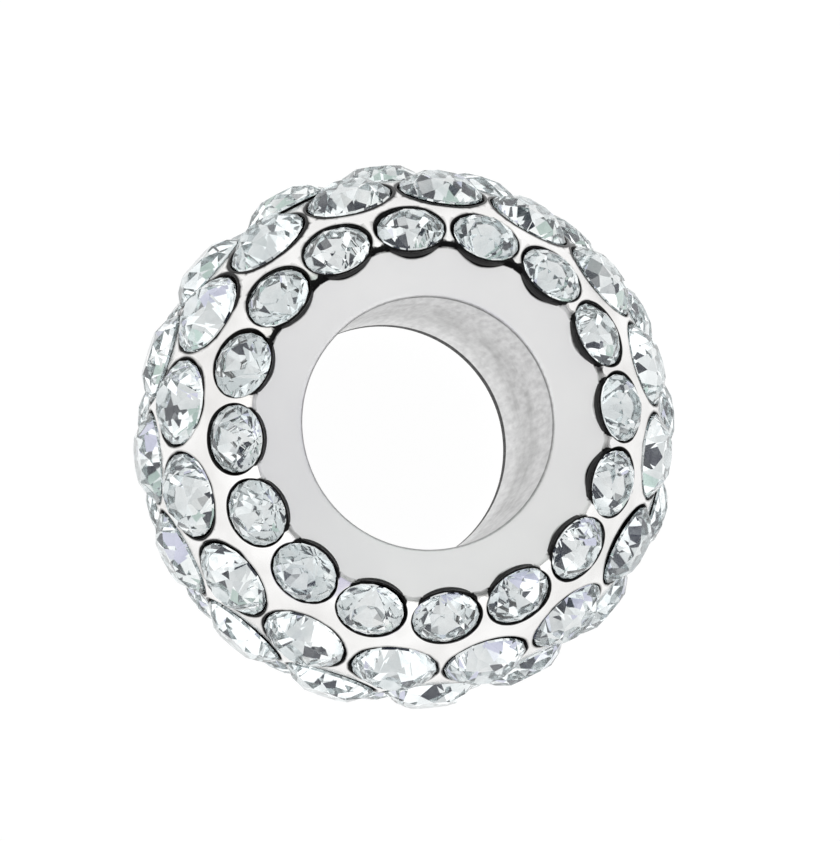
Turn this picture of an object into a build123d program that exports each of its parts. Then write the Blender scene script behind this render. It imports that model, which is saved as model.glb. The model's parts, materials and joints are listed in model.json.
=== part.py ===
"""A round pave charm bead with a wide bore, for threading on a bracelet.

The body is one cast piece: a ball with a plain bore along Z, cut off at both ends by a
shallow dish. Five rings of round brilliant crystals are let into seats around it. The
rings are staggered by half a pitch, and the crystals shrink towards the ends, so that
each ring is filled. The end rings sit in tapered collets that stand out of the dishes
and give each dish a scalloped edge. The bead rests on the collets of one end.

Units are millimetres. The origin is the middle of the bore, and +Z runs along it.
"""
from build123d import *
from math import acos, cos, degrees, pi, radians, sin, sqrt, tan
import os

# Body
bore_radius = 2.5
wall_at_middle = 2.58       # from the bore to the girdles of the middle ring
profile_radius = 4.71       # radius of the arc that all girdle centres lie on
girdle_sink = 0.08          # the girdles lie this far below the metal's round surface
rim_chamfer = 0.04          # on the two edges of the bore

# Dishes at the two ends, and the collets in them
dish_depth = 0.58           # from the top of the collets to the edge of the bore
dish_step = 0.05            # wall between the dish and the round surface
collet_reach = 0.22         # how far the collets stand in from the dish's round edge
collet_lip = 0.045          # metal between an end seat and the outside of its collet
collet_taper = 33           # degrees by which a collet narrows on its way down

# Rings of crystals
stones_in_ring = 16
ring_wall = 0.09            # metal left between two seats of one ring
shoulder_row_wall = 0.16    # metal left between the middle and the shoulder seats
end_row_wall = 0.32         # metal left between the shoulder and the end seats
seat_clearance = 0.055      # between a crystal and its seat

# Brilliant cut, as shares of a crystal's diameter
facets_round = 8
table_share = 0.54
star_share = 0.80           # diameter where the star, kite and upper facets meet
crown_share = 0.18          # height of the crown
girdle_share = 0.03         # height of the girdle
pavilion_share = 0.43       # depth of the pavilion
lower_share = 0.34          # diameter where the lower facets meet
culet_seat_share = 0.10     # flat at the bottom of a seat

# Derived sizes of the body's profile
middle_ring_radius = bore_radius + wall_at_middle
arc_centre = middle_ring_radius - profile_radius
surface_radius = profile_radius + girdle_sink
half_pitch = pi / stones_in_ring


def arc_point(latitude, radius=profile_radius):
    """Distance from the axis and height of a point of the arc, latitude in radians."""
    return arc_centre + radius * cos(latitude), radius * sin(latitude)


def surface_height(distance):
    """Height of the metal's round surface at a distance from the axis."""
    return surface_radius * sin(acos((distance - arc_centre) / surface_radius))


def crystal_radius(latitude):
    """Radius of the crystals that fill the ring at a latitude."""
    ring_radius = arc_point(latitude)[0]
    return ring_radius * sin(half_pitch) - ring_wall / 2 - seat_clearance


def next_latitude(latitude, row_wall):
    """Latitude of the next ring, half a pitch round and a row wall away."""
    low, high = latitude, pi / 2
    ring_radius, height = arc_point(latitude)
    for _ in range(50):
        trial = (low + high) / 2
        trial_radius, trial_height = arc_point(trial)
        room = crystal_radius(latitude) + crystal_radius(trial) + row_wall + 2 * seat_clearance
        across = trial_radius * sin(half_pitch)
        inward = ring_radius - trial_radius * cos(half_pitch)
        apart = sqrt(across**2 + inward**2 + (trial_height - height) ** 2)
        low, high = (trial, high) if apart < room else (low, trial)
    return (low + high) / 2


shoulder_latitude = next_latitude(0.0, shoulder_row_wall)
end_latitude = next_latitude(shoulder_latitude, end_row_wall)


def brilliant(diameter):
    """One round brilliant, its girdle centred on the origin and its table towards +Z."""
    step = 2 * pi / facets_round
    radius = diameter / 2
    girdle_top = girdle_share * diameter / 2
    girdle_bottom = -girdle_top
    table_height = girdle_top + crown_share * diameter
    culet_depth = girdle_bottom - pavilion_share * diameter

    def on_line(start, end, distance):
        """Height at a distance from the axis on a line of two (distance, height) points."""
        along = (distance - start[0]) / (end[0] - start[0])
        return start[1] + along * (end[1] - start[1])

    table_radius = table_share * radius
    star_radius = star_share * radius
    lower_radius = lower_share * radius
    star_height = on_line(
        (table_radius, table_height), (radius, girdle_top), star_radius * cos(step / 2)
    )
    lower_height = on_line((0, culet_depth), (radius, girdle_bottom), lower_radius * cos(step / 2))

    def ring(distance, height, turn):
        """A ring of points, one for each facet, turned by a share of the step."""
        angles = [(k + turn) * step for k in range(facets_round)]
        return [(distance * cos(a), distance * sin(a), height) for a in angles]

    table = ring(table_radius, table_height, 0)
    star = ring(star_radius, star_height, 0.5)
    top_main = ring(radius, girdle_top, 0)
    top_half = ring(radius, girdle_top, 0.5)
    low_main = ring(radius, girdle_bottom, 0)
    low_half = ring(radius, girdle_bottom, 0.5)
    lower = ring(lower_radius, lower_height, 0.5)
    culet = (0, 0, culet_depth)

    outlines = [table]
    for k in range(facets_round):
        n = (k + 1) % facets_round
        outlines += [
            [table[k], star[k], table[n]],
            [table[k], star[k - 1], top_main[k], star[k]],
            [star[k], top_main[k], top_half[k]],
            [star[k], top_half[k], top_main[n]],
            [top_main[k], low_main[k], low_half[k], top_half[k]],
            [top_half[k], low_half[k], low_main[n], top_main[n]],
            [low_main[k], lower[k], low_half[k]],
            [low_half[k], lower[k], low_main[n]],
            [culet, lower[k], low_main[k], lower[k - 1]],
        ]
    faces = [Face(Wire.make_polygon(points, close=True)) for points in outlines]
    return Solid(Shell(faces))


def seat_cutter(diameter):
    """The hole for one crystal: a short bore above a cone that follows the pavilion."""
    radius = diameter / 2 + seat_clearance
    girdle_bottom = -girdle_share * diameter / 2
    culet_depth = girdle_bottom - pavilion_share * diameter
    ledge = girdle_bottom - 2 * seat_clearance
    floor_height = culet_depth - seat_clearance
    profile = Polyline(
        (0, 0, diameter),
        (radius, 0, diameter),
        (radius, 0, ledge),
        (culet_seat_share * diameter, 0, floor_height),
        (0, 0, floor_height),
        close=True,
    )
    return revolve(make_face(profile), Axis.Z)


def ring_places(latitude, stagger):
    """The places of one ring: girdle centres, with Z pointing out of the metal."""
    ring_radius, height = arc_point(latitude)
    places = []
    for k in range(stones_in_ring):
        angle = (2 * k + stagger) * half_pitch
        centre = (ring_radius * cos(angle), ring_radius * sin(angle), height)
        outward = (cos(latitude) * cos(angle), cos(latitude) * sin(angle), sin(latitude))
        sideways = (-sin(angle), cos(angle), 0)
        places.append(Plane(origin=centre, x_dir=sideways, z_dir=outward))
    return places


# Each ring: latitude, and how many half pitches it is turned
rings = [
    (end_latitude, 0),
    (shoulder_latitude, 1),
    (0.0, 0),
    (-shoulder_latitude, 1),
    (-end_latitude, 0),
]

# Derived sizes of a dish, from the end ring's seats
end_ring_radius, end_ring_height = arc_point(end_latitude)
end_seat_radius = crystal_radius(end_latitude) + seat_clearance
collet_radius = end_seat_radius + collet_lip
collet_edge = end_ring_radius - collet_radius * sin(end_latitude)
dish_edge = collet_edge + collet_reach
dish_edge_height = surface_height(dish_edge) - dish_step
collet_top = surface_height(collet_edge)
rim_height = collet_top - dish_depth


def collet_blank():
    """The metal of one collet: a cone that narrows from the girdle down, and is plain above."""
    depth = collet_radius
    foot_radius = collet_radius - depth * tan(radians(collet_taper))
    profile = Polyline(
        (0, 0, depth),
        (collet_radius, 0, depth),
        (collet_radius, 0, 0),
        (foot_radius, 0, -depth),
        (0, 0, -depth),
        close=True,
    )
    return revolve(make_face(profile), Axis.Z)


def dish_cutter():
    """What a dish takes away at the +Z end: a cone-bottomed recess less the collets in it."""
    above = surface_radius
    slope = (dish_edge_height - rim_height) / (dish_edge - bore_radius)
    profile = Polyline(
        (0, 0, rim_height - slope * bore_radius),
        (dish_edge, 0, dish_edge_height),
        (dish_edge, 0, above),
        (0, 0, above),
        close=True,
    )
    collet = collet_blank()
    places = ring_places(*rings[0])
    return revolve(make_face(profile), Axis.Z) - [place * collet for place in places]


def bead_body():
    """The cast body: a ball with its bore, its two dishes and all its seats."""
    inner_top = surface_height(bore_radius)
    side = Polyline((bore_radius, 0, inner_top), (bore_radius, 0, -inner_top))
    bulge = ThreePointArc(
        (bore_radius, 0, -inner_top),
        (arc_centre + surface_radius, 0, 0),
        (bore_radius, 0, inner_top),
    )
    ball = revolve(make_face(side + bulge), Axis.Z)
    dish = dish_cutter()
    body = ball - [dish, mirror(dish, Plane.XY)]
    rims = body.edges().filter_by(GeomType.CIRCLE).filter_by(
        lambda edge: abs(edge.radius - bore_radius) < rim_chamfer / 2
    )
    body = chamfer(rims, rim_chamfer)
    seats = []
    for latitude, stagger in rings:
        cutter = seat_cutter(2 * crystal_radius(latitude))
        seats += [place * cutter for place in ring_places(latitude, stagger)]
    return body - seats


def crystal_field():
    """All crystals of the five rings, as loose solids, each in its seat."""
    crystals = []
    for latitude, stagger in rings:
        crystal = brilliant(2 * crystal_radius(latitude))
        crystals += [place.location * crystal for place in ring_places(latitude, stagger)]
    return Compound(crystals)


os.makedirs("parts", exist_ok=True)
export_step(bead_body(), "parts/bead_body.step")
export_step(crystal_field(), "parts/crystals.step")
for latitude, _ in rings[:3]:
    print(f"crystals of {2 * crystal_radius(latitude):.3f} at {degrees(latitude):.2f} degrees")
print(f"end ring radius {end_ring_radius:.3f}, height {end_ring_height:.3f}")
print(f"collets in to {collet_edge:.3f}, {collet_top:.3f} high")
print(f"dish from {rim_height:.3f} high to {dish_edge:.3f} across, {dish_edge_height:.3f} high")
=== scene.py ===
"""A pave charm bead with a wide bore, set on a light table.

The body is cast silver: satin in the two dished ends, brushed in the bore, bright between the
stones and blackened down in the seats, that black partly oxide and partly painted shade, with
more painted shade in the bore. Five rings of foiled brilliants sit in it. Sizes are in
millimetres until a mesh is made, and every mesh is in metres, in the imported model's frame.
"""

import json
import logging
import math
from dataclasses import dataclass, field
from enum import Enum
from functools import cached_property
from typing import Callable, Iterable, Iterator

import bpy
import numpy as np
from mathutils import Matrix, Vector
from mathutils.geometry import delaunay_2d_cdt

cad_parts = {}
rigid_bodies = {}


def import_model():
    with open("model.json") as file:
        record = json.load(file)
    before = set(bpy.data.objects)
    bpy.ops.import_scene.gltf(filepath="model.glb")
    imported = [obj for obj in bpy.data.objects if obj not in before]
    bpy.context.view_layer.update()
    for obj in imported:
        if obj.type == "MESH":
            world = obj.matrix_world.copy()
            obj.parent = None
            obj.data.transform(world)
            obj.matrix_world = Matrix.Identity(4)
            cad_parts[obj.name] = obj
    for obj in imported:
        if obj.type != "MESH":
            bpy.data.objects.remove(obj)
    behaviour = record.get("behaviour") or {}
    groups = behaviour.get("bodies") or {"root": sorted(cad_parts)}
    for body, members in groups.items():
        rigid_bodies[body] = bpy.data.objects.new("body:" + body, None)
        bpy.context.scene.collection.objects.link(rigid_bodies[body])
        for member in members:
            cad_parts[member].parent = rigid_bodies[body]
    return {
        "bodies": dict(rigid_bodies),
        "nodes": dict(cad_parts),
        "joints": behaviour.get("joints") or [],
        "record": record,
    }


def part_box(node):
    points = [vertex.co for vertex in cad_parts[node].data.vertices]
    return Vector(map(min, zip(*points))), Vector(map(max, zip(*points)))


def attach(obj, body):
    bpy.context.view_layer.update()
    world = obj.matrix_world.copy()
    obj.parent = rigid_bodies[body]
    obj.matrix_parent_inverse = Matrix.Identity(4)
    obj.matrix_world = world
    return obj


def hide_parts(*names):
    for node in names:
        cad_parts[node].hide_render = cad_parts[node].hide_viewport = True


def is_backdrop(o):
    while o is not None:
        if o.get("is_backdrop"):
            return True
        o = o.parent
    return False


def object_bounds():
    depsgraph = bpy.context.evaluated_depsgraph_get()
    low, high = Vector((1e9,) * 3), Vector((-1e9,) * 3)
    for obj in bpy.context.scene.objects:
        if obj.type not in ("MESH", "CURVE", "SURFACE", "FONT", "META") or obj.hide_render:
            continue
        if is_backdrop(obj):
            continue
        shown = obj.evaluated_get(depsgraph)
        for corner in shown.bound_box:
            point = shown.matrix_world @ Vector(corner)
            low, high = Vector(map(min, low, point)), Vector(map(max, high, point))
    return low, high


MM = 0.001
BODY_NODE = "bead_body"
CRYSTAL_NODE = "crystals"
# The attribute of how dark each point of the body is: oxide and painted shade.
RECESS = "recess"
FINISH_INDEX = "finish_index"

# Angles in radians below which two places are one, and a place is set on an edge
SAME_PLACE = 1e-6
EDGE_SNAP = 1e-5
# A difference of height, and twice the area of a face, that are only rounding
SAME_HEIGHT = 1e-9
FLAT_FACE = 1e-12
# The height of a collet's side where no collet is below
NO_COLLET = -10.0
HALVINGS = 50

Colour = tuple[float, float, float]
Pair = tuple[float, float]
Place = Pair  # azimuth and latitude on the round surface, in radians
Socket = bpy.types.NodeSocket
log = logging.getLogger("charm_bead")


class BodyFinish(Enum):
    """The finishes of the cast body, by the index that its faces carry."""

    BRIGHT = 0
    SATIN = 1
    BORE = 2
    SEAT = 3


class StoneFace(Enum):
    """The two kinds of face of a crystal, by the index that they carry."""

    CROWN = 0
    FOIL = 1


def turning_point(low: float, high: float, holds: Callable[[float], bool]) -> float:
    """Finds, by halving, where a test that holds at low stops holding.

    Args:
        low: a value at which the test holds.
        high: a value at which it doesn't.
        holds: the test.

    Returns:
        The value between them up to which it holds.
    """
    for _ in range(HALVINGS):
        trial = (low + high) / 2
        low, high = (trial, high) if holds(trial) else (low, trial)
    return (low + high) / 2


def between(start: Pair, end: Pair, share: float) -> Pair:
    """The pair of numbers that is a share of the way from one pair to another."""
    return start[0] + share * (end[0] - start[0]), start[1] + share * (end[1] - start[1])


def smooth_max(a: np.ndarray, b: np.ndarray, blend: float) -> np.ndarray:
    """The larger of two heights, rounded where they cross."""
    near = np.clip(0.5 + 0.5 * (a - b) / blend, 0.0, 1.0)
    return b + (a - b) * near + blend * near * (1 - near)


def smooth_min(a: np.ndarray, b: np.ndarray, blend: float) -> np.ndarray:
    """The smaller of two heights, rounded where they cross."""
    return -smooth_max(-a, -b, blend)


@dataclass(frozen=True)
class Ring:
    """One ring of crystals: where its girdles lie and how large its stones and seats are.

    Lengths are in millimetres and angles in radians, but its turn is a share of the pitch.
    """

    latitude: float
    radius: float
    height: float
    stone_radius: float
    seat_radius: float
    turn: float


@dataclass(frozen=True)
class Seat:
    """A stone's place on the bead, and the angles round it that belong to a sector.

    Lengths are in millimetres and angles in radians, counted from sideways towards upward.
    """

    ring: Ring
    azimuth: float
    low: float = 0.0
    high: float = 2 * math.pi

    @cached_property
    def centre(self) -> np.ndarray:
        """Middle of the stone's girdle."""
        across, aside = math.cos(self.azimuth), math.sin(self.azimuth)
        return np.array([self.ring.radius * across, self.ring.radius * aside, self.ring.height])

    @cached_property
    def axes(self) -> tuple[np.ndarray, np.ndarray, np.ndarray]:
        """Directions sideways, upward and outward of the stone.

        Returns:
            Three unit vectors.
        """
        ca, sa = math.cos(self.azimuth), math.sin(self.azimuth)
        cl, sl = math.cos(self.ring.latitude), math.sin(self.ring.latitude)
        sideways = np.array([-sa, ca, 0.0])
        upward = np.array([-sl * ca, -sl * sa, cl])
        outward = np.array([cl * ca, cl * sa, sl])
        return sideways, upward, outward

    def point(self, radius: float, angle: float, depth: float = 0.0) -> np.ndarray:
        """A point round the stone.

        Args:
            radius: its distance from the stone's axis.
            angle: round that axis.
            depth: how far it is below the girdle.

        Returns:
            The point.
        """
        sideways, upward, outward = self.axes
        offset = math.cos(angle) * sideways + math.sin(angle) * upward
        return self.centre + radius * offset - depth * outward

    def measured(self, points: np.ndarray) -> tuple[np.ndarray, np.ndarray]:
        """How points lie to the stone.

        Args:
            points: one point, or an array of them.

        Returns:
            How far they are above the girdle, and how far from the stone's axis.
        """
        outward = self.axes[2]
        away = points - self.centre
        along = away @ outward
        return along, np.linalg.norm(away - np.multiply.outer(along, outward), axis=-1)


@dataclass(frozen=True)
class BeadForm:
    """The bead's sizes and the rules that place its rings, dishes and collets.

    Lengths are in millimetres and angles in radians.
    """

    bore_radius: float
    rim_height: float
    collet_top: float
    wall_at_middle: float = 2.58
    profile_radius: float = 4.71
    girdle_sink: float = 0.08
    rim_chamfer: float = 0.04
    dish_depth: float = 0.58
    dish_step: float = 0.05
    collet_reach: float = 0.22
    collet_lip: float = 0.045
    collet_taper: float = math.radians(33)
    stones_in_ring: int = 16
    ring_wall: float = 0.09
    shoulder_row_wall: float = 0.16
    end_row_wall: float = 0.32
    seat_clearance: float = 0.055

    @classmethod
    def from_frame(cls, frame: dict) -> "BeadForm":
        """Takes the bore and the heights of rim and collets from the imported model.


        Returns:
            The bead's form.
        """
        bore = next(m for m in frame["record"]["mounts"] if m["name"] == "bore")
        return cls(
            bore_radius=bore["dims"]["r_mm"],
            rim_height=bore["dims"]["length_mm"] / 2 + cls.rim_chamfer,
            collet_top=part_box(BODY_NODE)[1][2] / MM,
        )

    @property
    def half_pitch(self) -> float:
        """Half the angle between two stones of a ring."""
        return math.pi / self.stones_in_ring

    @property
    def arc_centre(self) -> float:
        """Distance from the bore's axis to the centre of the profile's arc."""
        return self.bore_radius + self.wall_at_middle - self.profile_radius

    @property
    def surface_radius(self) -> float:
        """Radius of the arc of the metal's round surface."""
        return self.profile_radius + self.girdle_sink

    @property
    def rim_latitude(self) -> float:
        """Latitude of the outer edge of the bore's chamfer."""
        return self.latitude_at(self.bore_radius + self.rim_chamfer)

    @property
    def collet_slope(self) -> float:
        """How much a collet's radius shrinks with the depth below its girdle."""
        return math.tan(self.collet_taper)

    def latitude_at(self, distance: float) -> float:
        """Latitude of the round surface at a distance from the bore's axis."""
        return math.acos((distance - self.arc_centre) / self.surface_radius)

    def place_of(self, point: np.ndarray) -> Place:
        """Azimuth and latitude of a point near the round surface."""
        across = math.hypot(point[0], point[1]) - self.arc_centre
        return math.atan2(point[1], point[0]), math.atan2(point[2], across)

    def place_above(self, point: np.ndarray) -> Place:
        """Azimuth and latitude of the round surface straight above a point."""
        return math.atan2(point[1], point[0]), self.latitude_at(math.hypot(point[0], point[1]))

    def girdle_point(self, latitude: float) -> tuple[float, float]:
        """Distance from the bore's axis and height of the girdles at a latitude."""
        across = self.arc_centre + self.profile_radius * math.cos(latitude)
        return across, self.profile_radius * math.sin(latitude)

    def stone_radius(self, latitude: float) -> float:
        """Radius of the stones that fill the ring at a latitude."""
        ring_radius = self.girdle_point(latitude)[0]
        return ring_radius * math.sin(self.half_pitch) - self.ring_wall / 2 - self.seat_clearance

    def next_latitude(self, latitude: float, row_wall: float) -> float:
        """Latitude of the next ring, half a pitch round and a row wall away.

        Args:
            latitude: of the ring before it.
            row_wall: metal between the seats of the two rings.

        Returns:
            The latitude at which the two rings' seats are that far apart.
        """
        radius, height = self.girdle_point(latitude)

        def too_near(trial: float) -> bool:
            """Whether the seats would be closer than the wall.

            Args:
                trial: the next ring's latitude.

            Returns:
                True if they would.
            """
            trial_radius, trial_height = self.girdle_point(trial)
            across = trial_radius * math.sin(self.half_pitch)
            inward = radius - trial_radius * math.cos(self.half_pitch)
            room = self.stone_radius(latitude) + self.stone_radius(trial)
            room += row_wall + 2 * self.seat_clearance
            return math.hypot(across, inward, trial_height - height) < room

        return turning_point(latitude, math.pi / 2, too_near)

    def ring(self, latitude: float, turn: float) -> Ring:
        """The ring of stones at a latitude.

        Args:
            latitude: of its girdles.
            turn: how far it is turned, as a share of the pitch.

        Returns:
            The ring.
        """
        radius, height = self.girdle_point(latitude)
        stone_radius = self.stone_radius(abs(latitude))
        seat_radius = stone_radius + self.seat_clearance
        return Ring(latitude, radius, height, stone_radius, seat_radius, turn)

    def upper_rings(self) -> tuple[Ring, Ring, Ring]:
        """The middle, shoulder and end rings of the upper half.

        Returns:
            The three rings.
        """
        shoulder = self.next_latitude(0.0, self.shoulder_row_wall)
        end = self.next_latitude(shoulder, self.end_row_wall)
        return self.ring(0.0, 0.0), self.ring(shoulder, 0.5), self.ring(end, 0.0)

    def all_rings(self) -> list[Ring]:
        """The five rings, from the top end to the bottom end.

        Returns:
            The rings.
        """
        middle, shoulder, end = self.upper_rings()
        lower = [self.ring(-r.latitude, r.turn) for r in (shoulder, end)]
        return [end, shoulder, middle, *lower]


@dataclass(frozen=True)
class Cut:
    """Proportions of a brilliant and of its seat's floor, as shares of its diameter."""

    facets_round: int = 8
    table: float = 0.54
    star: float = 0.80
    crown: float = 0.18
    girdle: float = 0.03
    pavilion: float = 0.43
    lower: float = 0.78
    seat_floor: float = 0.10


def mesh_object(
    name: str,
    vertices: np.ndarray,
    faces: Iterable[Iterable[int]],
    finish: Iterable[int],
    recess: np.ndarray | None = None,
) -> bpy.types.Object:
    """Makes a mesh object from points in millimetres.

    Args:
        name: of the object and its mesh.
        vertices: one row a point.
        faces: the points of each face, anticlockwise from outside.
        finish: the finish index of each face.
        recess: how dark each point is, from 0 to 1.

    Returns:
        The new object, linked to the scene.
    """
    mesh = bpy.data.meshes.new(name)
    mesh.from_pydata((np.asarray(vertices) * MM).tolist(), [], [list(f) for f in faces])
    index = mesh.attributes.new(FINISH_INDEX, "INT", "FACE")
    index.data.foreach_set("value", list(finish))
    if recess is not None:
        dark = mesh.attributes.new(RECESS, "FLOAT", "POINT")
        dark.data.foreach_set("value", np.asarray(recess, dtype=np.float32))
    mesh.update()
    piece = bpy.data.objects.new(name, mesh)
    bpy.context.scene.collection.objects.link(piece)
    return piece


def applied(piece: bpy.types.Object, name: str) -> bpy.types.Object:
    """Turns a piece with live modifiers into a plain mesh object.

    Args:
        piece: the object with the modifiers, which is removed.
        name: of the new object.

    Returns:
        The plain object, at the origin.
    """
    graph = bpy.context.evaluated_depsgraph_get()
    mesh = bpy.data.meshes.new_from_object(piece.evaluated_get(graph))
    mesh.name = name
    plain = bpy.data.objects.new(name, mesh)
    bpy.context.scene.collection.objects.link(plain)
    piece.modifiers.clear()
    bpy.data.objects.remove(piece, do_unlink=True)
    return plain


def opaque(colour: Colour | Socket) -> object:
    """A colour with full alpha. A socket stays as it is."""
    return (*colour, 1.0) if isinstance(colour, tuple) else colour


class NodeBuilder:
    """Short ways to add nodes to a tree and to link them."""

    def __init__(self, tree: bpy.types.NodeTree) -> None:
        """Takes the tree that the nodes go to."""
        self.tree = tree

    def node(self, kind: str, **settings: object) -> bpy.types.Node:
        """Adds a node.

        Args:
            kind: its type.
            settings: a value for each of its properties that is changed.

        Returns:
            The node.
        """
        made = self.tree.nodes.new(kind)
        for key, value in settings.items():
            setattr(made, key, value)
        return made

    def feed(self, target: Socket, value: object) -> None:
        """Links a socket to an input, or sets a plain value on it.

        Args:
            target: the input.
            value: the socket or value.
        """
        if isinstance(value, bpy.types.NodeSocket):
            self.tree.links.new(value, target)
        else:
            target.default_value = value

    def wired(self, made: bpy.types.Node, result: str, **inputs: object) -> Socket:
        """Feeds a node's inputs.

        Args:
            made: the node.
            result: the name of the output that is wanted.
            inputs: a socket or value for each input, an underscore standing for a space.

        Returns:
            That output.
        """
        for name, value in inputs.items():
            self.feed(made.inputs[name.replace("_", " ")], value)
        return made.outputs[result]

    def calculate(self, operation: str, *values: Socket | float) -> Socket:
        """Adds a Math node.

        Args:
            operation: what it works out.
            values: its sockets or numbers.

        Returns:
            Its result.
        """
        made = self.node("ShaderNodeMath", operation=operation)
        for target, value in zip(made.inputs, values):
            self.feed(target, value)
        return made.outputs["Value"]

    def vector(self, **axes: Socket | float) -> Socket:
        """A vector of sockets or numbers for X, Y and Z, which are 0 if left out."""
        return self.wired(self.node("ShaderNodeCombineXYZ"), "Vector", **axes)

    def reach(self, vector: Socket, direction: tuple[float, float, float]) -> Socket:
        """How far a vector reaches along a direction.

        Args:
            vector: the vector's socket.
            direction: a unit vector.

        Returns:
            The length's socket.
        """
        made = self.node("ShaderNodeVectorMath", operation="DOT_PRODUCT")
        self.feed(made.inputs[0], vector)
        self.feed(made.inputs[1], direction)
        return made.outputs["Value"]

    def span(
        self,
        source: Socket,
        low: float,
        high: float,
        start: float = 0.3,
        end: float = 0.7,
        kind: str = "LINEAR",
    ) -> Socket:
        """Maps a socket's values from start and end to low and high, held at both.

        Args:
            source: the socket.
            low: the result at start.
            high: the result at end.
            start: a value of the socket.
            end: another one.
            kind: of interpolation.

        Returns:
            The result's socket.
        """
        ends = {"From_Min": start, "From_Max": end, "To_Min": low, "To_Max": high}
        made = self.node("ShaderNodeMapRange", interpolation_type=kind)
        return self.wired(made, "Result", Value=source, **ends)

    def mix(
        self, amount: Socket, low: Colour | Socket, high: Colour | Socket, blend: str = "MIX"
    ) -> Socket:
        """Mixes two colours by an amount between 0 and 1.

        Args:
            amount: the amount's socket.
            low: the colour at 0, or its socket.
            high: the colour at 1, or its socket.
            blend: the way of mixing.

        Returns:
            The mixed colour's socket.
        """
        made = self.node("ShaderNodeMix", data_type="RGBA", blend_type=blend)
        return self.wired(made, "Result", Factor=amount, A=opaque(low), B=opaque(high))


class ShaderTree(NodeBuilder):
    """A material with a Principled shader, and short ways to add patterns to it."""

    def __init__(self, name: str) -> None:
        """Makes the material, its shader and its output.

        Args:
            name: the material's name.
        """
        self.material = bpy.data.materials.new(name)
        self.material.use_nodes = True
        super().__init__(self.material.node_tree)
        self.tree.nodes.clear()
        self.surface = self.node("ShaderNodeBsdfPrincipled")
        output = self.node("ShaderNodeOutputMaterial")
        self.feed(output.inputs["Surface"], self.surface.outputs["BSDF"])

    def set(self, **inputs: object) -> None:
        """Feeds the shader's inputs, an underscore standing for a space."""
        self.wired(self.surface, "BSDF", **inputs)

    def place(self) -> Socket:
        """The Object coordinates."""
        return self.node("ShaderNodeTexCoord").outputs["Object"]

    def noise(self, feature: float, detail: float = 3.0, stretch: float = 1.0) -> Socket:
        """A noise on Object coordinates.

        Args:
            feature: size of its features, in millimetres.
            detail: octaves of finer noise.
            stretch: how much longer its features are along the bore.

        Returns:
            The noise's value socket.
        """
        drawn = self.wired(
            self.node("ShaderNodeMapping"),
            "Vector",
            Vector=self.place(),
            Scale=(1.0, 1.0, 1 / stretch),
        )
        made = self.node("ShaderNodeTexNoise")
        return self.wired(made, "Fac", Vector=drawn, Scale=1 / (feature * MM), Detail=detail)

    def bump(self, height: Socket, depth: float) -> None:
        """Raises the surface by a height socket, depth in millimetres."""
        made = self.node("ShaderNodeBump")
        self.set(Normal=self.wired(made, "Normal", Height=height, Distance=depth * MM))


class GeometryTree(NodeBuilder):
    """A Geometry Nodes group with named inputs and one geometry as its result."""

    def __init__(self, name: str, inputs: dict[str, int | float | None], result: str) -> None:
        """Makes the group with its inputs.

        Args:
            name: of the group.
            inputs: the default of each input by name, which is None for a geometry.
            result: the name of its output.
        """
        super().__init__(bpy.data.node_groups.new(name, "GeometryNodeTree"))
        kinds = {int: "NodeSocketInt", float: "NodeSocketFloat"}
        self.identifiers = {}
        for label, value in inputs.items():
            kind = kinds.get(type(value), "NodeSocketGeometry")
            socket = self.tree.interface.new_socket(label, in_out="INPUT", socket_type=kind)
            if value is not None:
                socket.default_value = value
            self.identifiers[label] = socket.identifier
        kind = "NodeSocketGeometry"
        self.tree.interface.new_socket(result, in_out="OUTPUT", socket_type=kind)
        self.given = self.node("NodeGroupInput").outputs

    def hand_out(self, geometry: Socket) -> None:
        """Makes a geometry the group's result."""
        self.feed(self.node("NodeGroupOutput").inputs[0], geometry)

    def points(self, count: Socket) -> Socket:
        """As many points as a count says, all at the origin."""
        line = self.node("GeometryNodeMeshLine", mode="OFFSET")
        return self.wired(line, "Mesh", Count=count, Offset=(0.0, 0.0, 0.0))

    def index(self) -> Socket:
        """The number of each point."""
        return self.node("GeometryNodeInputIndex").outputs["Index"]

    def copies(self, points: Socket, shape: Socket, **inputs: object) -> Socket:
        """Sets a copy of a shape on each point, with a Rotation and a Scale if they are given."""
        made = self.node("GeometryNodeInstanceOnPoints")
        return self.wired(made, "Instances", Points=points, Instance=shape, **inputs)

    def realized(self, geometry: Socket) -> Socket:
        """Makes real geometry of instances."""
        made = self.node("GeometryNodeRealizeInstances")
        return self.wired(made, "Geometry", Geometry=geometry)

    def random(self, low: Socket | float, high: Socket | float, seed: Socket) -> Socket:
        """A random number for each point.

        Args:
            low: the lowest it can be.
            high: the highest it can be.
            seed: of its own series.

        Returns:
            The number's socket.
        """
        made = self.node("FunctionNodeRandomValue", data_type="FLOAT")
        ends = [socket for socket in made.inputs if socket.type == "VALUE"]
        self.feed(ends[0], low)
        self.feed(ends[1], high)
        self.feed(made.inputs["Seed"], seed)
        return next(socket for socket in made.outputs if socket.type == "VALUE")

    def paint(self, geometry: Socket, materials: dict[Enum, bpy.types.Material]) -> None:
        """Gives each face the material of its finish and hands the geometry out.

        Args:
            geometry: what is painted.
            materials: the material of each finish.
        """
        named = self.node("GeometryNodeInputNamedAttribute", data_type="INT")
        carried = self.wired(named, "Attribute", Name=FINISH_INDEX)
        for finish, material in materials.items():
            same = self.node("FunctionNodeCompare", data_type="INT", operation="EQUAL")
            numbers = [socket for socket in same.inputs if socket.type == "INT"]
            self.feed(numbers[0], carried)
            self.feed(numbers[1], finish.value)
            chosen = {"Selection": same.outputs["Result"], "Material": material}
            brush = self.node("GeometryNodeSetMaterial")
            geometry = self.wired(brush, "Geometry", Geometry=geometry, **chosen)
        self.hand_out(geometry)


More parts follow.
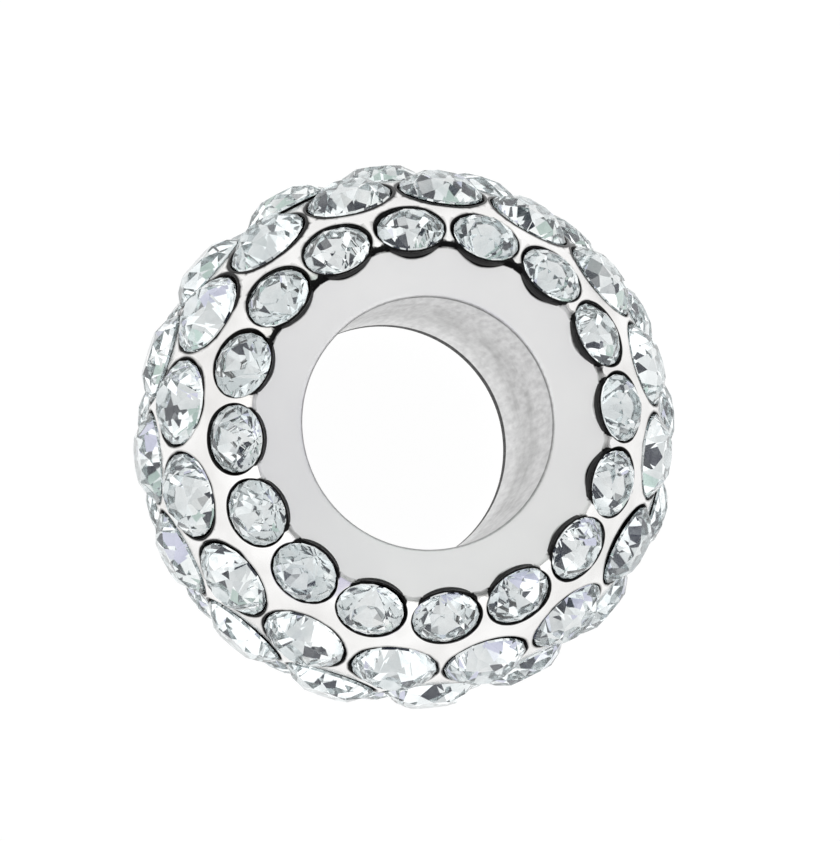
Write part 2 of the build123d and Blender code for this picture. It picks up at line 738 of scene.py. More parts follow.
@dataclass(frozen=True)
class SilverFinish:
    """One finish of the cast silver, with oxide and painted shade in the recesses, the painted
    shade heavier on one side.

    Features and depths are in millimetres and azimuths in degrees.
    """

    name: str
    tint: Colour
    shade: Colour
    roughness: tuple[float, float]
    mottle: float  # size of the patches of tint and shade
    grain: float  # size of the grain
    grain_depth: float
    stretch: float = 1.0  # how much longer both are along the bore
    # near black of the oxide and painted shade in the recesses
    oxide_and_shade: Colour = (0.003, 0.003, 0.0032)
    oxide_and_shade_shine: float = 0.08  # specular level of the shader, which tells where the oxide and painted shade lie
    oxide_and_shade_patch: float = 1.0  # size of its swells
    oxide_and_shade_base: float = 0.95  # how thick it is where it is thin
    oxide_and_shade_swell: float = 0.65  # how much thicker it is in a swell
    swell_start: float = 0.46  # values of the noise between which it swells
    swell_end: float = 0.68
    oxide_and_shade_start: float = 0.4  # thickness at which it starts to hide the silver
    oxide_and_shade_end: float = 0.54
    # a painted shade: the grey fringe round the oxide and painted shade
    shade_fringe: Colour = (0.22, 0.22, 0.215)
    shade_fringe_strength: float = 0.6
    shade_fringe_start: float = 0.16  # thickness at which the painted shade's grey fringe round it starts
    shade_fringe_end: float = 0.4
    shaded_azimuth: float = 95.0  # the side on which the painted shade is heaviest
    shaded_from: float = 1.2  # distances towards it between which the lightening of the far side fades out
    shaded_to: float = 3.2
    lighter_side_cut: float = 0.36  # darkness taken off on the far side, which is painted lighter

    def material(self) -> bpy.types.Material:
        """Builds the finish's material.

        Returns:
            The material.
        """
        shader = ShaderTree(self.name)
        patches = shader.noise(self.mottle, stretch=self.stretch)
        silver = shader.mix(shader.span(patches, 0.0, 1.0), self.tint, self.shade)
        oxide_and_shade_depth = self.oxide_and_shade_depth(shader)
        # Painted shade: a grey fringe, and within it the near black of oxide and painted shade.
        shade_fringe = shader.span(oxide_and_shade_depth, 0.0, self.shade_fringe_strength, self.shade_fringe_start, self.shade_fringe_end)
        dark = shader.span(oxide_and_shade_depth, 0.0, 1.0, self.oxide_and_shade_start, self.oxide_and_shade_end)
        shader.set(
            Base_Color=shader.mix(dark, shader.mix(shade_fringe, silver, self.shade_fringe), self.oxide_and_shade),
            Metallic=shader.span(dark, 1.0, 0.0, 0.0, 1.0),
            Roughness=shader.span(patches, *self.roughness),
            Specular_IOR_Level=self.oxide_and_shade_shine,
        )
        grain = shader.noise(self.grain, detail=4.0, stretch=self.stretch)
        shader.bump(grain, self.grain_depth)
        return shader.material

    def oxide_and_shade_depth(self, shader: ShaderTree) -> Socket:
        """How thick the oxide and painted shade lie: as the mesh says, swelling and thinning in
        patches, and thinner away from the shaded side.

        Args:
            shader: the finish's tree.

        Returns:
            The thickness's socket.
        """
        recess = shader.node("ShaderNodeAttribute", attribute_name=RECESS).outputs["Fac"]
        wander = shader.span(
            shader.noise(self.oxide_and_shade_patch),
            self.oxide_and_shade_base,
            self.oxide_and_shade_base + self.oxide_and_shade_swell,
            self.swell_start,
            self.swell_end,
        )
        uneven = shader.calculate("MULTIPLY", recess, wander)
        return shader.calculate("ADD", uneven, self.side_shade(shader))

    def side_shade(self, shader: ShaderTree) -> Socket:
        """Painted shade by side: nothing is taken off on the shaded side, most on the far one.

        Args:
            shader: the finish's tree.

        Returns:
            The socket of a number that is 0 or less.
        """
        azimuth = math.radians(self.shaded_azimuth)
        toward = (math.cos(azimuth), math.sin(azimuth), 0.0)
        ends = (self.shaded_from * MM, self.shaded_to * MM)
        return shader.span(shader.reach(shader.place(), toward), -self.lighter_side_cut, 0.0, *ends)


@dataclass(frozen=True)
class PatchyFinish:
    """A finish whose colour and roughness wander in patches, as the seats' near black does.

    The size of its patches is in millimetres.
    """

    name: str
    tint: Colour
    shade: Colour
    roughness: tuple[float, float]
    patch: float
    colour_span: tuple[float, float] = (0.3, 0.7)

    def kind(self) -> dict[str, float]:
        """What sets this kind of finish apart, as values of the shader."""
        return {}

    def material(self) -> bpy.types.Material:
        """Builds the finish's material.

        Returns:
            The material.
        """
        shader = ShaderTree(self.name)
        patches = shader.noise(self.patch)
        amount = shader.span(patches, 0.0, 1.0, *self.colour_span)
        shader.set(
            Base_Color=shader.mix(amount, self.tint, self.shade),
            Roughness=shader.span(patches, *self.roughness),
            **self.kind(),
        )
        return shader.material


@dataclass(frozen=True)
class GlassFinish(PatchyFinish):
    """The clear cut glass of a crystal's crown and girdle."""

    refraction: float = 1.5

    def kind(self) -> dict[str, float]:
        """What makes it glass."""
        return {"Transmission_Weight": 1.0, "IOR": self.refraction}


@dataclass(frozen=True)
class FoilFinish(PatchyFinish):
    """The mirror foil on a crystal's pavilion."""

    def kind(self) -> dict[str, float]:
        """What makes it a mirror."""
        return {"Metallic": 1.0}


BRIGHT_SILVER = SilverFinish(
    name="bright_silver",
    tint=(0.965, 0.96, 0.952),
    shade=(0.80, 0.79, 0.78),
    roughness=(0.12, 0.24),
    mottle=1.1,
    grain=0.12,
    grain_depth=0.002,
)
SATIN_SILVER = SilverFinish(
    name="satin_silver",
    tint=(0.945, 0.945, 0.94),
    shade=(0.92, 0.92, 0.92),
    roughness=(0.55, 0.6),
    mottle=1.6,
    grain=0.05,
    grain_depth=0.0012,
)
BORE_SILVER = SilverFinish(
    name="bore_silver",
    tint=(0.83, 0.83, 0.83),
    shade=(0.70, 0.70, 0.70),
    roughness=(0.4, 0.52),
    mottle=0.1,
    grain=0.05,
    grain_depth=0.004,
    stretch=6.0,
    oxide_and_shade_swell=0.35,
    # In the bore the painted shade is heaviest towards azimuth 25 degrees.
    shaded_azimuth=25.0,
    shaded_from=-1.0,
    shaded_to=1.0,
    lighter_side_cut=0.2,
)
# Near black in the seats' pits: oxide and painted shade in the gaps round the stones.
SEAT_OXIDE_AND_SHADE = PatchyFinish(
    name="seat_oxide_and_shade",
    tint=(0.004, 0.004, 0.004),
    shade=(0.018, 0.018, 0.018),
    roughness=(0.5, 0.7),
    patch=0.3,
    colour_span=(0.0, 1.0),
)
CROWN_GLASS = GlassFinish(
    name="crown_glass",
    tint=(0.985, 0.995, 0.995),
    shade=(0.955, 0.975, 0.98),
    roughness=(0.01, 0.05),
    patch=1.7,
    refraction=1.56,
)
PAVILION_FOIL = FoilFinish(
    name="pavilion_foil",
    tint=(0.96, 0.97, 0.97),
    shade=(0.75, 0.79, 0.80),
    roughness=(0.03, 0.07),
    patch=0.5,
)


@dataclass
class BodySkin:
    """The outer skin of the cast body's quarter sector, and the oxide and painted shade on it.

    The skin is the round surface, with a dish at the bore and a collet round each end seat.
    A place on it is an azimuth and a latitude. Lengths are in millimetres and angles in
    radians.
    """

    form: BeadForm
    lip_rounding: float = 0.03  # radius of the rounding of a seat's edge
    lip_reach: float = 0.06  # depth below a girdle that still counts as its seat's edge
    seat_slack: float = 0.004  # a point this near a seat's edge isn't over the seat
    step_width: float = 0.04  # over which the dish climbs to the round surface
    edge_blend: float = 0.045  # rounding of a collet's upper edge
    foot_blend: float = 0.05  # rounding at a collet's foot
    blend_reach: float = 0.05  # how far outside the dish a collet is looked for
    deepest_foot: float = 0.6  # depth below the girdle that no collet's foot reaches
    scan_top: float = 4.4  # heights between which a collet's side is looked for
    scan_bottom: float = 2.9
    scan_levels: int = 301
    oxide_and_shade_reach: float = 0.13  # width in which the oxide and painted shade round a seat thin out
    end_oxide_and_shade_reach: float = 0.045  # the same round an end seat
    field_oxide_and_shade: float = 0.95  # thickness at the edge of the other seats
    crescent: float = 0.4  # how much wider the oxide and painted shade are above a shoulder seat
    scallop_rise: float = 0.12  # how far the line of the pooled oxide and painted shade bows out between collets
    scallop_start: float = 0.47  # its thickness along that line
    scallop_level: float = 0.58  # its greatest thickness
    scallop_ramp: float = 0.08  # width over which it would thicken from 0 to 1
    foot_oxide_and_shade_reach: float = 0.07  # width of the oxide and painted shade round a collet's foot
    foot_oxide_and_shade: float = 0.3  # thickness left at the bottom of a collet's side
    middle: Ring = field(init=False)
    shoulder: Ring = field(init=False)
    end: Ring = field(init=False)
    collet_radius: float = field(init=False)
    dish_edge: float = field(init=False)
    dish_edge_height: float = field(init=False)
    collet: Seat = field(init=False)
    seats: list[Seat] = field(init=False)

    def __post_init__(self) -> None:
        """Works out the rings, the collets, the dish and the sector's seats from the form."""
        form = self.form
        self.middle, self.shoulder, self.end = form.upper_rings()
        self.collet_radius = self.end.seat_radius + form.collet_lip
        sink = math.sin(self.end.latitude)
        self.dish_edge = self.end.radius - self.collet_radius * sink + form.collet_reach
        edge_latitude = form.latitude_at(self.dish_edge)
        self.dish_edge_height = form.surface_radius * math.sin(edge_latitude) - form.dish_step
        self.collet = Seat(self.end, 0.0, -math.pi / 2, math.pi / 2)
        self.seats = [
            Seat(self.middle, 0.0, 0.0, math.pi / 2),
            Seat(self.shoulder, form.half_pitch, math.pi / 2, 3 * math.pi / 2),
            self.collet,
        ]

    def dish_height(self, distance: np.ndarray) -> np.ndarray:
        """Height of the dish's cone at a distance from the bore's axis.

        Args:
            distance: one, or an array of them.

        Returns:
            The heights.
        """
        form = self.form
        slope = (self.dish_edge_height - form.rim_height) / (self.dish_edge - form.bore_radius)
        return form.rim_height + slope * (distance - form.bore_radius)

    def rounding_of(self, ring: Ring) -> float:
        """Radius of a seat's lip, which on a collet takes half its thickness."""
        thin = min(self.lip_rounding, self.form.collet_lip / 2)
        return thin if ring is self.end else self.lip_rounding

    def collet_foot(self, angle: float) -> Place | None:
        """Where the side of a collet meets the dish.

        Args:
            angle: round the stone.

        Returns:
            The place above that point, or None where the collet doesn't stand in the dish.
        """

        def side(depth: float) -> np.ndarray:
            """The point of the collet's side at a depth below the girdle."""
            radius = self.collet_radius - depth * self.form.collet_slope
            return self.collet.point(radius, angle, depth)

        def stands(depth: float) -> bool:
            """Whether that point is above the dish."""
            here = side(depth)
            return bool(here[2] > self.dish_height(math.hypot(here[0], here[1])))

        if not stands(0.0) or stands(self.deepest_foot):
            return None
        foot = side(turning_point(0.0, self.deepest_foot, stands))
        if math.hypot(foot[0], foot[1]) > self.dish_edge or foot[1] < -SAME_HEIGHT:
            return None
        return self.form.place_above(foot)

    def collet_side(self, flat: np.ndarray) -> np.ndarray:
        """Height of the nearest collet's side above points of the plan.

        Args:
            flat: one row a point, x and y.

        Returns:
            The heights, very low where no collet is below.
        """
        levels = np.linspace(self.scan_top, self.scan_bottom, self.scan_levels)
        grid = np.empty((len(flat), len(levels), 3))
        grid[:, :, :2] = flat[:, None, :]
        grid[:, :, 2] = levels
        rows = np.arange(len(flat))
        best = np.full(len(flat), NO_COLLET)
        for azimuth in (0.0, 2 * self.form.half_pitch):
            along, radial = Seat(self.end, azimuth).measured(grid)
            gap = radial - (self.collet_radius + along * self.form.collet_slope)
            within = gap < 0
            first = within.argmax(axis=1)
            found = within.any(axis=1) & (first > 0)
            before = np.maximum(first - 1, 0)
            high, low = gap[rows, before], gap[rows, first]
            share = np.where(found, high / np.where(found, high - low, 1.0), 0.0)
            height = levels[before] + share * (levels[first] - levels[before])
            best = np.maximum(best, np.where(found, height, NO_COLLET))
            best = np.where(within.any(axis=1) & (first == 0), self.scan_top, best)
        return best

    def surface(self, places: np.ndarray) -> np.ndarray:
        """Points of the body's outer skin, dishes and collets included.

        Args:
            places: one row a place, azimuth and latitude.

        Returns:
            One row a point, x, y and z.
        """
        form = self.form
        azimuth, latitude = places[:, 0], places[:, 1]
        radius = form.arc_centre + form.surface_radius * np.cos(latitude)
        arc = form.surface_radius * np.sin(latitude)
        ramp = np.clip((radius - self.dish_edge) / self.step_width + 1, 0.0, 1.0)
        dish = self.dish_height(radius)
        dish = np.where(radius > self.dish_edge, arc, dish + ramp * (arc - dish))
        near = radius < self.dish_edge + self.blend_reach
        flat = np.column_stack([radius * np.cos(azimuth), radius * np.sin(azimuth)])
        height = arc.copy()
        if near.any():
            top = smooth_min(arc[near], self.collet_side(flat[near]), self.edge_blend)
            sunk = np.minimum(smooth_max(dish[near], top, self.foot_blend), arc[near])
            height[near] = np.where(dish[near] >= arc[near] - SAME_HEIGHT, arc[near], sunk)
        return np.column_stack([flat, height])

    def collet_gap(self, points: np.ndarray) -> np.ndarray:
        """How far points are from the collet's side, which is upright above the girdle."""
        along, radial = self.collet.measured(points)
        return radial - self.collet_radius - np.minimum(along, 0.0) * self.form.collet_slope

    def over_seat(self, point: np.ndarray, seat: Seat) -> bool:
        """Whether a point lies over a seat's hole."""
        along, radial = seat.measured(point)
        return bool(along > -self.lip_reach and radial < seat.ring.seat_radius - self.seat_slack)

    def lip_drop(self, outer: np.ndarray) -> np.ndarray:
        """How far the rounding of the seats' lips lowers points of the skin.

        Args:
            outer: one row a point.

        Returns:
            One length a point.
        """
        drop = np.zeros(len(outer))
        for seat in self.seats:
            rounding = self.rounding_of(seat.ring)
            along, radial = seat.measured(outer)
            inward = np.clip(rounding - (radial - seat.ring.seat_radius), 0.0, rounding)
            inward = np.where(along > -self.lip_reach, inward, 0.0)
            drop = np.maximum(drop, rounding - np.sqrt(rounding**2 - inward**2))
        return drop

    def oxide_and_shade(self, outer: np.ndarray) -> np.ndarray:
        """How much dark oxide and painted shade lie on points of the skin.

        Args:
            outer: one row a point.

        Returns:
            One value a point, from 0 to 1.
        """
        distance = np.hypot(outer[:, 0], outer[:, 1])
        dark = np.maximum(self.pooled(outer, distance), self.on_collet(outer, distance))
        for seat in self.seats:
            dark = np.maximum(dark, self.round_seat(outer, seat))
        return np.clip(dark, 0.0, 1.0)

    def pooled(self, outer: np.ndarray, distance: np.ndarray) -> np.ndarray:
        """Oxide and painted shade between two collets, which end in the dish in a scalloped line.

        Args:
            outer: one row a point.
            distance: of each point from the bore's axis.

        Returns:
            One value a point.
        """
        azimuth = np.arctan2(outer[:, 1], outer[:, 0])
        rise = 0.5 - 0.5 * np.cos(math.pi * azimuth / self.form.half_pitch)
        line = self.dish_edge - self.form.collet_reach + self.scallop_rise * rise
        level = self.scallop_start + (distance - line) / self.scallop_ramp
        pool = np.clip(level, 0.0, self.scallop_level)
        return np.where(distance < self.dish_edge + self.step_width, pool, 0.0)

    def round_seat(self, outer: np.ndarray, seat: Seat) -> np.ndarray:
        """Oxide and painted shade round a seat, reaching further above the shoulder ring's seats.

        Args:
            outer: one row a point.
            seat: the seat.

        Returns:
            One value a point, below 0 where there is none.
        """
        along, radial = seat.measured(outer)
        radius = seat.ring.seat_radius
        reach = self.end_oxide_and_shade_reach if seat.ring is self.end else self.oxide_and_shade_reach
        if seat.ring is self.shoulder:
            rise = np.clip((outer - seat.centre) @ seat.axes[1] / radius, 0.0, 1.0)
            reach = reach * (1 + self.crescent * rise**2)
        level = 1.0 if seat.ring is self.end else self.field_oxide_and_shade
        return np.where(along > -self.lip_reach, level - (radial - radius) / reach, 0.0)

    def on_collet(self, outer: np.ndarray, distance: np.ndarray) -> np.ndarray:
        """Oxide and painted shade on the side of a collet and at its foot, thinner further down.

        Args:
            outer: one row a point.
            distance: of each point from the bore's axis.

        Returns:
            One value a point.
        """
        along, _ = self.collet.measured(outer)
        side = np.clip(1 - self.collet_gap(outer) / self.foot_oxide_and_shade_reach, 0.0, 1.0)
        deep = np.clip(-along / (self.form.dish_depth - self.form.collet_lip), 0.0, 1.0)
        outside = self.dish_edge + 2 * self.step_width
        fade = np.clip((outside - distance) / self.step_width, 0.0, 1.0)
        return side * (1 - (1 - self.foot_oxide_and_shade) * deep) * fade


@dataclass
class QuarterMesh:
    """The mesh of the quarter sector, from the middle plane up and in to the bore's wall.

    Rows of places follow the seats' lips, the collet, the dish's edge and the bore's rim, and
    the rest is filled evenly. Lengths are in millimetres and angles in radians. Rows and rooms
    are shares of the length that they are counted in.
    """

    skin: BodySkin
    cut: Cut = Cut()
    steps_round_seat: int = 64
    mesh_pitch: float = 0.1  # between the places that fill the sector
    close_pitch: float = 0.035  # between those that fill the dish by a collet
    foot_spread: float = 0.13  # width of that closer fill
    side_density: float = 1.3  # places for each pitch along the sector's sides
    middle_steps: int = 11  # steps along the middle plane
    edge_room: float = 0.35  # room that a place keeps at the sector's sides
    close_room: float = 0.7  # the same in the closer fill
    fill_room: float = 0.6  # the same elsewhere
    lip_rows: tuple[float, ...] = (0.0, 0.3, 0.65, 1.0, 2.0)  # of the lip's rounding
    collet_rows: tuple[float, ...] = (0.0, 0.2, 0.45, 0.7, 1.0, 1.4)  # of the way to its foot
    step_rows: tuple[float, ...] = (-1.0, -0.5, 0.0, 0.5)  # of the step's width
    step_places: int = 4
    step_gap: float = 1 / 3  # of the step's width, between its rows and a collet
    rim_rows: tuple[float, ...] = (1.0, 0.985, 0.93)  # of the rim's latitude
    rim_steps: int = 5
    rim_shade_rows: int = 3  # just inside the rim, to carry its painted shade
    rim_row_spacing: float = 0.14  # between those rows
    bore_rows: int = 10  # in the rest of the bore
    rim_shade: float = 0.36  # painted shade at the rim
    bore_shade: float = 0.25  # painted shade in the middle of the bore
    satin_rise: float = 0.16  # how far above the dish its satin finish goes
    satin_inset: float = 0.01  # how far inside the dish's edge it ends
    places: list[Place] = field(default_factory=list)
    chains: list[tuple[int, int]] = field(default_factory=list)
    vertices: list[np.ndarray] = field(default_factory=list)
    darkness: list[float] = field(default_factory=list)
    faces: list[list[int]] = field(default_factory=list)
    finish: list[int] = field(default_factory=list)

    @property
    def form(self) -> BeadForm:
        """The bead's form."""
        return self.skin.form

    def inside(self, place: Place) -> bool:
        """Whether a place lies in the quarter sector, edges included."""
        ends = zip(place, (self.form.half_pitch, self.form.rim_latitude))
        return all(-SAME_PLACE <= angle <= end + SAME_PLACE for angle, end in ends)

    def add_place(self, azimuth: float, latitude: float) -> int:
        """Adds a place of the quarter sector, set on its edge where it is near one.

        Args:
            azimuth: of the place.
            latitude: of the place.

        Returns:
            Its number.
        """
        for edge in (0.0, self.form.half_pitch):
            if abs(azimuth - edge) < EDGE_SNAP:
                azimuth = edge
        if abs(latitude) < EDGE_SNAP:
            latitude = 0.0
        self.places.append((azimuth, latitude))
        return len(self.places) - 1

    def add_row(self, row: list[Place | None]) -> None:
        """Adds a row of places and joins neighbours.

        Args:
            row: the places, with None where the row has a gap.
        """
        before = None
        for place in row:
            here = None
            if place is not None and self.inside(place):
                here = self.add_place(*place)
                if before is not None:
                    self.chains.append((before, here))
            before = here

    def angles(self, low: float, high: float) -> np.ndarray:
        """Evenly spaced angles round a seat from low to high, both included."""
        count = round((high - low) / (2 * math.pi) * self.steps_round_seat)
        return np.linspace(low, high, count + 1)

    def seat_row(self, seat: Seat, radius: float) -> list[Place]:
        """Where a circle round a stone meets the round surface."""
        angles = self.angles(seat.low, seat.high)
        return [self.form.place_of(seat.point(radius, angle)) for angle in angles]

    def add_seats(self) -> None:
        """Adds the rows of the seats' rounded lips."""
        for seat in self.skin.seats:
            rounding = self.skin.rounding_of(seat.ring)
            for share in self.lip_rows:
                if seat.ring is self.skin.end and share > 1:
                    continue
                self.add_row(self.seat_row(seat, seat.ring.seat_radius + share * rounding))

    def add_collet(self) -> None:
        """Adds rows down the side of the collet and out on to the dish."""
        outer_half = Seat(self.skin.end, 0.0, 0.0, math.pi / 2)
        tops = self.seat_row(outer_half, self.skin.collet_radius)
        feet = [self.skin.collet_foot(a) for a in self.angles(outer_half.low, outer_half.high)]
        for share in self.collet_rows:
            row = [
                None if foot is None else between(top, foot, share)
                for top, foot in zip(tops, feet)
            ]
            self.add_row(row)

    def add_dish_edge(self) -> None:
        """Adds rows along the dish's round edge, between two collets."""
        skin = self.skin
        gap = self.step_gap * skin.step_width
        for share in self.step_rows:
            distance = skin.dish_edge + share * skin.step_width
            inward = (skin.end.radius - distance) / math.sin(skin.end.latitude)
            across = math.sqrt(skin.collet_radius**2 - inward**2) + gap
            start = math.asin(across / distance)
            columns = np.linspace(start, self.form.half_pitch, self.step_places)
            self.add_row([(azimuth, self.form.latitude_at(distance)) for azimuth in columns])

    def add_edges(self) -> None:
        """Adds the rows at the bore's rim and places along the sector's sides."""
        half_pitch, rim = self.form.half_pitch, self.form.rim_latitude
        room = self.edge_room * self.mesh_pitch
        self.add_place(half_pitch, 0.0)
        for share in self.rim_rows:
            columns = np.linspace(0.0, half_pitch, self.rim_steps + 1)
            self.add_row([(azimuth, rim * share) for azimuth in columns])
        steps = int(rim * self.form.surface_radius / self.mesh_pitch * self.side_density)
        for latitude in np.linspace(0.0, rim, steps + 1)[1:-1]:
            for azimuth in (0.0, half_pitch):
                self.add_free(azimuth, latitude, room)
        for azimuth in np.linspace(0.0, half_pitch, self.middle_steps + 1)[1:-1]:
            self.add_free(azimuth, 0.0, room)

    def add_free(self, azimuth: float, latitude: float, room: float) -> None:
        """Adds a filling place if it keeps clear of all that are there.

        Args:
            azimuth: of the place.
            latitude: of the place.
            room: the clearance it keeps.
        """
        here = self.skin.surface(np.array([[azimuth, latitude]]))[0]
        if any(self.skin.over_seat(here, seat) for seat in self.skin.seats):
            return
        known = self.skin.surface(np.array(self.places))
        if np.linalg.norm(known - here, axis=1).min() > room:
            self.add_place(azimuth, latitude)

    def close_places(self, inner: float) -> Iterator[Place]:
        """Closely spaced places, from the dish's edge inwards.

        Args:
            inner: distance from the bore's axis at which they end.

        Yields:
            Each place.
        """
        for distance in np.arange(self.skin.dish_edge, inner, -self.close_pitch):
            count = max(3, round(self.form.half_pitch * distance / self.close_pitch))
            for azimuth in np.linspace(0.0, self.form.half_pitch, count + 1):
                yield azimuth, self.form.latitude_at(distance)

    def fill_dish(self) -> None:
        """Fills the dish closely, first where the pooled oxide ends, then round the foot."""
        room = self.close_room * self.close_pitch
        collets_end = self.skin.dish_edge - self.form.collet_reach
        for place in self.close_places(collets_end - self.close_pitch):
            self.add_free(*place, room)
        for place in self.close_places(collets_end - 2 * self.foot_spread):
            gap = self.skin.collet_gap(self.skin.surface(np.array([place]))[0])
            if 0.0 < gap < self.foot_spread:
                self.add_free(*place, room)

    def fill(self) -> None:
        """Fills the rest of the quarter sector with evenly spread places."""
        half_pitch, rim = self.form.half_pitch, self.form.rim_latitude
        room = self.fill_room * self.mesh_pitch
        rise = self.mesh_pitch * math.sqrt(3) / 2
        rows = int(rim * self.form.surface_radius / rise)
        for j in range(1, rows):
            latitude = rim * j / rows
            radius = self.form.arc_centre + self.form.surface_radius * math.cos(latitude)
            count = max(3, round(half_pitch * radius / self.mesh_pitch))
            for i in range(count + 1):
                azimuth = half_pitch * (i + 0.5 * (j % 2)) / count
                if azimuth < half_pitch:
                    self.add_free(azimuth, latitude, room)

    def triangulated(self) -> tuple[np.ndarray, list[list[int]]]:
        """Joins all places by triangles that keep to the rows.

        Returns:
            The places, one row each, and the places of each triangle.
        """
        scale = (self.skin.middle.radius, self.form.surface_radius)
        flat = [Vector((a * scale[0], b * scale[1])) for a, b in self.places]
        found, _, faces, _, _, _ = delaunay_2d_cdt(flat, self.chains, [], 0, SAME_PLACE)
        places = np.array([[v.x / scale[0], v.y / scale[1]] for v in found])
        half = self.form.half_pitch
        places[:, 0] = np.where(abs(places[:, 0] - half) < SAME_PLACE, half, places[:, 0])
        return places, [list(f) for f in faces]

    def seat_edge(self, places: np.ndarray, seat: Seat) -> list[int]:
        """The places round the edge of one seat, in order."""
        row = self.seat_row(seat, seat.ring.seat_radius)
        return [int(np.linalg.norm(places - place, axis=1).argmin()) for place in row]

    def keep_faces(
        self,
        outer: np.ndarray,
        places: np.ndarray,
        triangles: list[list[int]],
        edges: list[list[int]],
    ) -> None:
        """Keeps the triangles that don't lie across a seat, each with its finish.

        Args:
            outer: the skin's points.
            places: their places.
            triangles: the points of each triangle.
            edges: the points round the edge of each seat.
        """
        for face in triangles:
            if any(set(face) <= set(edge) for edge in edges):
                continue
            first, second = places[face[1]] - places[face[0]], places[face[2]] - places[face[0]]
            turn = first[0] * second[1] - first[1] * second[0]
            if abs(turn) < FLAT_FACE:
                continue
            self.faces.append(face if turn > 0 else face[::-1])
            middle = outer[face].mean(axis=0)
            distance = math.hypot(middle[0], middle[1])
            in_dish = distance < self.skin.dish_edge - self.satin_inset
            sunk = middle[2] < self.skin.dish_height(distance) + self.satin_rise
            kind = BodyFinish.SATIN if in_dish and sunk else BodyFinish.BRIGHT
            self.finish.append(kind.value)

    def add_level(
        self, points: list[np.ndarray], shade: float, above: list[int], kind: BodyFinish
    ) -> list[int]:
        """Adds a row of points below another and joins the two.

        Args:
            points: of the new row.
            shade: how dark they are.
            above: the row above, with as many points.
            kind: the finish of the faces between the rows.

        Returns:
            The new row.
        """
        start = len(self.vertices)
        row = list(range(start, start + len(points)))
        self.vertices += points
        self.darkness += [shade] * len(points)
        for k in range(len(row) - 1):
            self.faces.append([above[k], above[k + 1], row[k + 1], row[k]])
            self.finish.append(kind.value)
        return row

    def add_seat_pits(self, edges: list[list[int]]) -> None:
        """Adds the wall, cone and floor of each seat below its lip.

        Args:
            edges: the points round the edge of each seat.
        """
        cut, clearance = self.cut, self.form.seat_clearance
        for seat, row in zip(self.skin.seats, edges):
            diameter = 2 * seat.ring.stone_radius
            ledge = cut.girdle * diameter / 2 + 2 * clearance
            floor = (cut.girdle / 2 + cut.pavilion) * diameter + clearance
            angles = self.angles(seat.low, seat.high)
            for radius, depth in (
                (seat.ring.seat_radius, ledge),
                (cut.seat_floor * diameter, floor),
            ):
                points = [seat.point(radius, angle, depth) for angle in angles]
                row = self.add_level(points, 1.0, row, BodyFinish.SEAT)
            tip = len(self.vertices)
            self.vertices.append(seat.point(0.0, 0.0, floor))
            self.darkness.append(1.0)
            for a, b in zip(row, row[1:]):
                self.faces.append([a, b, tip])
                self.finish.append(BodyFinish.SEAT.value)

    def add_bore(self, places: np.ndarray) -> None:
        """Adds the chamfer at the rim and the bore's wall down to the middle plane.

        Args:
            places: of the skin's points.
        """
        form = self.form
        row = [i for i, p in enumerate(places) if abs(p[1] - form.rim_latitude) < SAME_PLACE]
        row.sort(key=lambda i: places[i][0])
        azimuths = [places[i][0] for i in row]
        wall_top = form.rim_height - form.rim_chamfer
        levels = [wall_top - k * self.rim_row_spacing for k in range(self.rim_shade_rows)]
        start = wall_top - self.rim_shade_rows * self.rim_row_spacing
        levels += list(np.linspace(start, 0.0, self.bore_rows))
        for level in levels:
            points = [
                np.array([form.bore_radius * math.cos(a), form.bore_radius * math.sin(a), level])
                for a in azimuths
            ]
            # Painted shade: a line at the rim, and darker towards the middle of the bore.
            deep = self.bore_shade * (1 - (level / wall_top) ** 2)
            shade = self.rim_shade if level == wall_top else deep
            row = self.add_level(points, shade, row, BodyFinish.BORE)

    def build(self) -> None:
        """Lays the rows, fills between them and makes points and faces of it all."""
        self.add_seats()
        self.add_collet()
        self.add_dish_edge()
        self.add_edges()
        self.fill_dish()
        self.fill()
        places, triangles = self.triangulated()
        outer = self.skin.surface(places)
        azimuth, latitude = places[:, 0], places[:, 1]
        level = [np.cos(latitude) * np.cos(azimuth), np.cos(latitude) * np.sin(azimuth)]
        outward = np.column_stack([*level, np.sin(latitude)])
        self.vertices += list(outer - self.skin.lip_drop(outer)[:, None] * outward)
        self.darkness += list(self.skin.oxide_and_shade(outer))
        edges = [self.seat_edge(places, seat) for seat in self.skin.seats]
        self.keep_faces(outer, places, triangles, edges)
        self.add_seat_pits(edges)
        self.add_bore(places)


